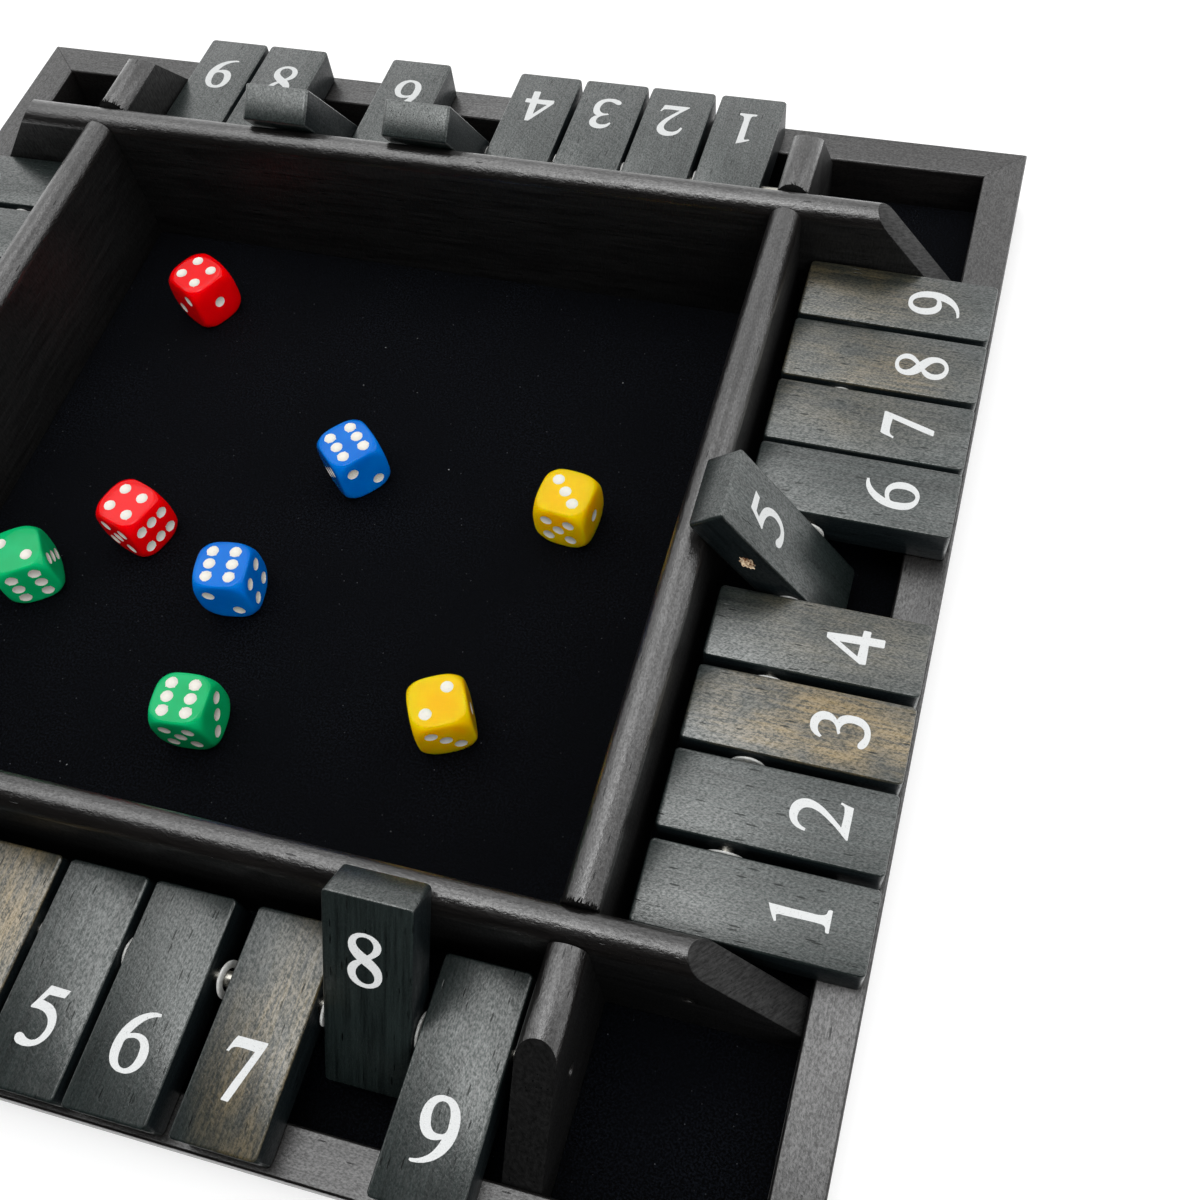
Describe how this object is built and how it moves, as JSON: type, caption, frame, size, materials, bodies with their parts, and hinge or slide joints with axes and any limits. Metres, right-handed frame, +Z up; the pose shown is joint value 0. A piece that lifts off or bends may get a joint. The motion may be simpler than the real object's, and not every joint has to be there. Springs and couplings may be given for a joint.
{
  "type": "shut the box game",
  "caption": "Square dice tray in which numbered wooden tiles pivot on steel rods along every side and flip up against round-topped dividers around a felt-lined well.",
  "frame": {"origin": "middle of the underside of the base", "axes": "+Z up; +X to the east side and +Y to the north side, the sides being square and alike"},
  "size_m": [0.355, 0.355, 0.0592],
  "materials": {
    "case_wood": "black-stained, satin lacquer",
    "tile_wood": "blue-black stain, satin lacquer, open grain",
    "base_wood": "black-stained board",
    "felt": "glued black felt",
    "rod_steel": "drawn steel rod",
    "washer": "punched natural nylon, half clear",
    "die_red": "polished, white-filled pips",
    "die_yellow": "polished, white-filled pips",
    "die_blue": "polished, white-filled pips",
    "die_green": "polished, white-filled pips"
  },
  "bodies": {
    "tray": {"base_board": "base_wood", "felt_lining": "felt", "rail_east": "case_wood", "rail_north": "case_wood", "rail_west": "case_wood", "rail_south": "case_wood", "divider_east": "case_wood", "divider_north": "case_wood", "divider_west": "case_wood", "divider_south": "case_wood", "rod_east": "rod_steel", "rod_north": "rod_steel", "rod_west": "rod_steel", "rod_south": "rod_steel", "washers": "washer"},
    "tile_east_1": {"tile_east_1": "tile_wood"},
    "tile_east_2": {"tile_east_2": "tile_wood"},
    "tile_east_3": {"tile_east_3": "tile_wood"},
    "tile_east_4": {"tile_east_4": "tile_wood"},
    "tile_east_5": {"tile_east_5": "tile_wood"},
    "tile_east_6": {"tile_east_6": "tile_wood"},
    "tile_east_7": {"tile_east_7": "tile_wood"},
    "tile_east_8": {"tile_east_8": "tile_wood"},
    "tile_east_9": {"tile_east_9": "tile_wood"},
    "tile_north_1": {"tile_north_1": "tile_wood"},
    "tile_north_2": {"tile_north_2": "tile_wood"},
    "tile_north_3": {"tile_north_3": "tile_wood"},
    "tile_north_4": {"tile_north_4": "tile_wood"},
    "tile_north_5": {"tile_north_5": "tile_wood"},
    "tile_north_6": {"tile_north_6": "tile_wood"},
    "tile_north_7": {"tile_north_7": "tile_wood"},
    "tile_north_8": {"tile_north_8": "tile_wood"},
    "tile_north_9": {"tile_north_9": "tile_wood"},
    "tile_west_1": {"tile_west_1": "tile_wood"},
    "tile_west_2": {"tile_west_2": "tile_wood"},
    "tile_west_3": {"tile_west_3": "tile_wood"},
    "tile_west_4": {"tile_west_4": "tile_wood"},
    "tile_west_5": {"tile_west_5": "tile_wood"},
    "tile_west_6": {"tile_west_6": "tile_wood"},
    "tile_west_7": {"tile_west_7": "tile_wood"},
    "tile_west_8": {"tile_west_8": "tile_wood"},
    "tile_west_9": {"tile_west_9": "tile_wood"},
    "tile_south_1": {"tile_south_1": "tile_wood"},
    "tile_south_2": {"tile_south_2": "tile_wood"},
    "tile_south_3": {"tile_south_3": "tile_wood"},
    "tile_south_4": {"tile_south_4": "tile_wood"},
    "tile_south_5": {"tile_south_5": "tile_wood"},
    "tile_south_6": {"tile_south_6": "tile_wood"},
    "tile_south_7": {"tile_south_7": "tile_wood"},
    "tile_south_8": {"tile_south_8": "tile_wood"},
    "tile_south_9": {"tile_south_9": "tile_wood"},
    "die_red_1": {"die_red_1": "die_red"},
    "die_red_2": {"die_red_2": "die_red"},
    "die_yellow_1": {"die_yellow_1": "die_yellow"},
    "die_yellow_2": {"die_yellow_2": "die_yellow"},
    "die_blue_1": {"die_blue_1": "die_blue"},
    "die_blue_2": {"die_blue_2": "die_blue"},
    "die_green_1": {"die_green_1": "die_green"},
    "die_green_2": {"die_green_2": "die_green"}
  },
  "joints": [
    {"name": "tile_east_1_hinge", "type": "hinge", "parent": "tray", "child": "tile_east_1", "pos_m": [0.1388, -0.09319, 0.0263], "axis": [0, -1, 0], "range_deg": [0, 127.6]},
    {"name": "tile_east_2_hinge", "type": "hinge", "parent": "tray", "child": "tile_east_2", "pos_m": [0.1388, -0.0688, 0.0263], "axis": [0, -1, 0], "range_deg": [0, 127.6]},
    {"name": "tile_east_3_hinge", "type": "hinge", "parent": "tray", "child": "tile_east_3", "pos_m": [0.1388, -0.04476, 0.0263], "axis": [0, -1, 0], "range_deg": [0, 127.6]},
    {"name": "tile_east_4_hinge", "type": "hinge", "parent": "tray", "child": "tile_east_4", "pos_m": [0.1388, -0.02071, 0.0263], "axis": [0, -1, 0], "range_deg": [0, 127.6]},
    {"name": "tile_east_5_hinge", "type": "hinge", "parent": "tray", "child": "tile_east_5", "pos_m": [0.1388, 0.00207, 0.0263], "axis": [0, -1, 0], "range_deg": [-127.6, 0]},
    {"name": "tile_east_6_hinge", "type": "hinge", "parent": "tray", "child": "tile_east_6", "pos_m": [0.1388, 0.02772, 0.0263], "axis": [0, -1, 0], "range_deg": [0, 127.6]},
    {"name": "tile_east_7_hinge", "type": "hinge", "parent": "tray", "child": "tile_east_7", "pos_m": [0.1388, 0.05039, 0.0263], "axis": [0, -1, 0], "range_deg": [0, 127.6]},
    {"name": "tile_east_8_hinge", "type": "hinge", "parent": "tray", "child": "tile_east_8", "pos_m": [0.1388, 0.07363, 0.0263], "axis": [0, -1, 0], "range_deg": [0, 127.6]},
    {"name": "tile_east_9_hinge", "type": "hinge", "parent": "tray", "child": "tile_east_9", "pos_m": [0.1388, 0.09675, 0.0263], "axis": [0, -1, 0], "range_deg": [0, 127.6]},
    {"name": "tile_north_1_hinge", "type": "hinge", "parent": "tray", "child": "tile_north_1", "pos_m": [0.08859, 0.1388, 0.0263], "axis": [1, 0, 0], "range_deg": [0, 127.6]},
    {"name": "tile_north_2_hinge", "type": "hinge", "parent": "tray", "child": "tile_north_2", "pos_m": [0.06512, 0.1388, 0.0263], "axis": [1, 0, 0], "range_deg": [0, 127.6]},
    {"name": "tile_north_3_hinge", "type": "hinge", "parent": "tray", "child": "tile_north_3", "pos_m": [0.04234, 0.1388, 0.0263], "axis": [1, 0, 0], "range_deg": [0, 127.6]},
    {"name": "tile_north_4_hinge", "type": "hinge", "parent": "tray", "child": "tile_north_4", "pos_m": [0.0191, 0.1388, 0.0263], "axis": [1, 0, 0], "range_deg": [0, 127.6]},
    {"name": "tile_north_5_hinge", "type": "hinge", "parent": "tray", "child": "tile_north_5", "pos_m": [-0.00345, 0.1388, 0.0263], "axis": [1, 0, 0], "range_deg": [-127.6, 0]},
    {"name": "tile_north_6_hinge", "type": "hinge", "parent": "tray", "child": "tile_north_6", "pos_m": [-0.02761, 0.1388, 0.0263], "axis": [1, 0, 0], "range_deg": [0, 127.6]},
    {"name": "tile_north_7_hinge", "type": "hinge", "parent": "tray", "child": "tile_north_7", "pos_m": [-0.05016, 0.1388, 0.0263], "axis": [1, 0, 0], "range_deg": [-127.6, 0]},
    {"name": "tile_north_8_hinge", "type": "hinge", "parent": "tray", "child": "tile_north_8", "pos_m": [-0.07386, 0.1388, 0.0263], "axis": [1, 0, 0], "range_deg": [0, 127.6]},
    {"name": "tile_north_9_hinge", "type": "hinge", "parent": "tray", "child": "tile_north_9", "pos_m": [-0.09675, 0.1388, 0.0263], "axis": [1, 0, 0], "range_deg": [0, 127.6]},
    {"name": "tile_west_1_hinge", "type": "hinge", "parent": "tray", "child": "tile_west_1", "pos_m": [-0.1388, 0.09641, 0.0263], "axis": [0, 1, 0], "range_deg": [0, 127.6]},
    {"name": "tile_west_2_hinge", "type": "hinge", "parent": "tray", "child": "tile_west_2", "pos_m": [-0.1388, 0.07294, 0.0263], "axis": [0, 1, 0], "range_deg": [0, 127.6]},
    {"name": "tile_west_3_hinge", "type": "hinge", "parent": "tray", "child": "tile_west_3", "pos_m": [-0.1388, 0.04855, 0.0263], "axis": [0, 1, 0], "range_deg": [0, 127.6]},
    {"name": "tile_west_4_hinge", "type": "hinge", "parent": "tray", "child": "tile_west_4", "pos_m": [-0.1388, 0.02462, 0.0263], "axis": [0, 1, 0], "range_deg": [0, 127.6]},
    {"name": "tile_west_5_hinge", "type": "hinge", "parent": "tray", "child": "tile_west_5", "pos_m": [-0.1388, 0.00115, 0.0263], "axis": [0, 1, 0], "range_deg": [0, 127.6]},
    {"name": "tile_west_6_hinge", "type": "hinge", "parent": "tray", "child": "tile_west_6", "pos_m": [-0.1388, -0.02324, 0.0263], "axis": [0, 1, 0], "range_deg": [0, 127.6]},
    {"name": "tile_west_7_hinge", "type": "hinge", "parent": "tray", "child": "tile_west_7", "pos_m": [-0.1388, -0.04694, 0.0263], "axis": [0, 1, 0], "range_deg": [0, 127.6]},
    {"name": "tile_west_8_hinge", "type": "hinge", "parent": "tray", "child": "tile_west_8", "pos_m": [-0.1388, -0.07133, 0.0263], "axis": [0, 1, 0], "range_deg": [0, 127.6]},
    {"name": "tile_west_9_hinge", "type": "hinge", "parent": "tray", "child": "tile_west_9", "pos_m": [-0.1388, -0.0948, 0.0263], "axis": [0, 1, 0], "range_deg": [0, 127.6]},
    {"name": "tile_south_1_hinge", "type": "hinge", "parent": "tray", "child": "tile_south_1", "pos_m": [-0.09595, -0.1388, 0.0263], "axis": [-1, 0, 0], "range_deg": [0, 127.6]},
    {"name": "tile_south_2_hinge", "type": "hinge", "parent": "tray", "child": "tile_south_2", "pos_m": [-0.0734, -0.1388, 0.0263], "axis": [-1, 0, 0], "range_deg": [0, 127.6]},
    {"name": "tile_south_3_hinge", "type": "hinge", "parent": "tray", "child": "tile_south_3", "pos_m": [-0.05085, -0.1388, 0.0263], "axis": [-1, 0, 0], "range_deg": [0, 127.6]},
    {"name": "tile_south_4_hinge", "type": "hinge", "parent": "tray", "child": "tile_south_4", "pos_m": [-0.02819, -0.1388, 0.0263], "axis": [-1, 0, 0], "range_deg": [0, 127.6]},
    {"name": "tile_south_5_hinge", "type": "hinge", "parent": "tray", "child": "tile_south_5", "pos_m": [-0.00449, -0.1388, 0.0263], "axis": [-1, 0, 0], "range_deg": [0, 127.6]},
    {"name": "tile_south_6_hinge", "type": "hinge", "parent": "tray", "child": "tile_south_6", "pos_m": [0.01898, -0.1388, 0.0263], "axis": [-1, 0, 0], "range_deg": [0, 127.6]},
    {"name": "tile_south_7_hinge", "type": "hinge", "parent": "tray", "child": "tile_south_7", "pos_m": [0.04602, -0.1388, 0.0263], "axis": [-1, 0, 0], "range_deg": [0, 127.6]},
    {"name": "tile_south_8_hinge", "type": "hinge", "parent": "tray", "child": "tile_south_8", "pos_m": [0.07029, -0.1388, 0.0263], "axis": [-1, 0, 0], "range_deg": [-127.6, 0]},
    {"name": "tile_south_9_hinge", "type": "hinge", "parent": "tray", "child": "tile_south_9", "pos_m": [0.0933, -0.1388, 0.0263], "axis": [-1, 0, 0], "range_deg": [0, 127.6]},
    {"name": "die_red_1_lift", "type": "slide", "parent": "tray", "child": "die_red_1", "axis": [0, 0, 1], "range_m": [0, 0.05]},
    {"name": "die_red_2_lift", "type": "slide", "parent": "tray", "child": "die_red_2", "axis": [0, 0, 1], "range_m": [0, 0.05]},
    {"name": "die_yellow_1_lift", "type": "slide", "parent": "tray", "child": "die_yellow_1", "axis": [0, 0, 1], "range_m": [0, 0.05]},
    {"name": "die_yellow_2_lift", "type": "slide", "parent": "tray", "child": "die_yellow_2", "axis": [0, 0, 1], "range_m": [0, 0.05]},
    {"name": "die_blue_1_lift", "type": "slide", "parent": "tray", "child": "die_blue_1", "axis": [0, 0, 1], "range_m": [0, 0.05]},
    {"name": "die_blue_2_lift", "type": "slide", "parent": "tray", "child": "die_blue_2", "axis": [0, 0, 1], "range_m": [0, 0.05]},
    {"name": "die_green_1_lift", "type": "slide", "parent": "tray", "child": "die_green_1", "axis": [0, 0, 1], "range_m": [0, 0.05]},
    {"name": "die_green_2_lift", "type": "slide", "parent": "tray", "child": "die_green_2", "axis": [0, 0, 1], "range_m": [0, 0.05]}
  ]
}
